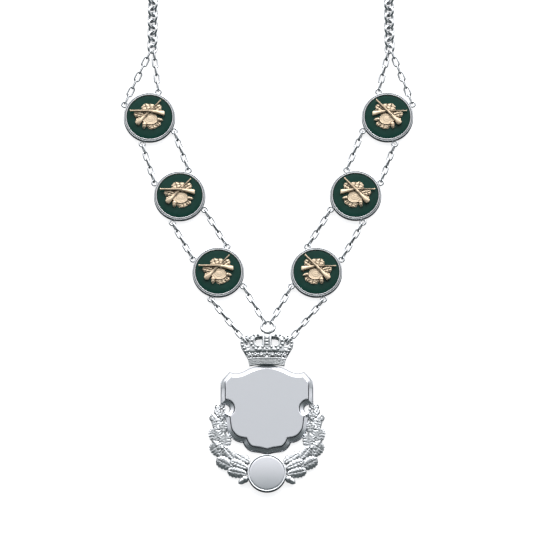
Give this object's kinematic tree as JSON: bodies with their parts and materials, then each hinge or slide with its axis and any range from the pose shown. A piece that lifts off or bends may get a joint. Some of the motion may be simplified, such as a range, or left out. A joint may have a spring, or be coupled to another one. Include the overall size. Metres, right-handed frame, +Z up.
{
  "type": "shooting guild chain",
  "caption": "Shooting guild chain worn round the neck: enamelled medallions with rifle emblems on fine chains, and a crowned shield pendant in an oak wreath.",
  "frame": {"origin": "middle of the outline on the table that the chain lies on, at z = 0", "axes": "+X to the right as seen from above, +Y from the pendant towards the clasp, +Z up out of the face of the pendant"},
  "size_m": [0.2074, 0.5672, 0.0073],
  "materials": {
    "silver": "polished silver plate, slightly bluish",
    "silver_satin": "satin silver plate with polished bevels",
    "silver_cast": "cast silver plate, bright on its raised parts and dark in its recesses",
    "pale_gilt": "pale matt gilt casting with dark recesses",
    "green_enamel": "glossy dark green enamel"
  },
  "bodies": {
    "root": {"bezel_left_top": "silver", "enamel_left_top": "green_enamel", "emblem_left_top": "pale_gilt", "bezel_left_mid": "silver", "enamel_left_mid": "green_enamel", "emblem_left_mid": "pale_gilt", "bezel_left_low": "silver", "enamel_left_low": "green_enamel", "emblem_left_low": "pale_gilt", "bezel_right_top": "silver", "enamel_right_top": "green_enamel", "emblem_right_top": "pale_gilt", "bezel_right_mid": "silver", "enamel_right_mid": "green_enamel", "emblem_right_mid": "pale_gilt", "bezel_right_low": "silver", "enamel_right_low": "green_enamel", "emblem_right_low": "pale_gilt", "fine_chain_left_outer_1": "silver", "fine_chain_left_outer_2": "silver", "fine_chain_left_outer_3": "silver", "fine_chain_left_outer_4": "silver", "fine_chain_left_inner_1": "silver", "fine_chain_left_inner_2": "silver", "fine_chain_left_inner_3": "silver", "fine_chain_left_inner_4": "silver", "fine_chain_right_outer_1": "silver", "fine_chain_right_outer_2": "silver", "fine_chain_right_outer_3": "silver", "fine_chain_right_outer_4": "silver", "fine_chain_right_inner_1": "silver", "fine_chain_right_inner_2": "silver", "fine_chain_right_inner_3": "silver", "fine_chain_right_inner_4": "silver", "end_ring_left": "silver", "neck_chain_left": "silver", "end_ring_right": "silver", "neck_chain_right": "silver", "clasp_ring": "silver", "plate_cup": "silver", "blank_plate": "silver_satin", "shield": "silver_satin", "crown": "silver_cast", "wreath": "silver_cast"}
  },
  "joints": []
}
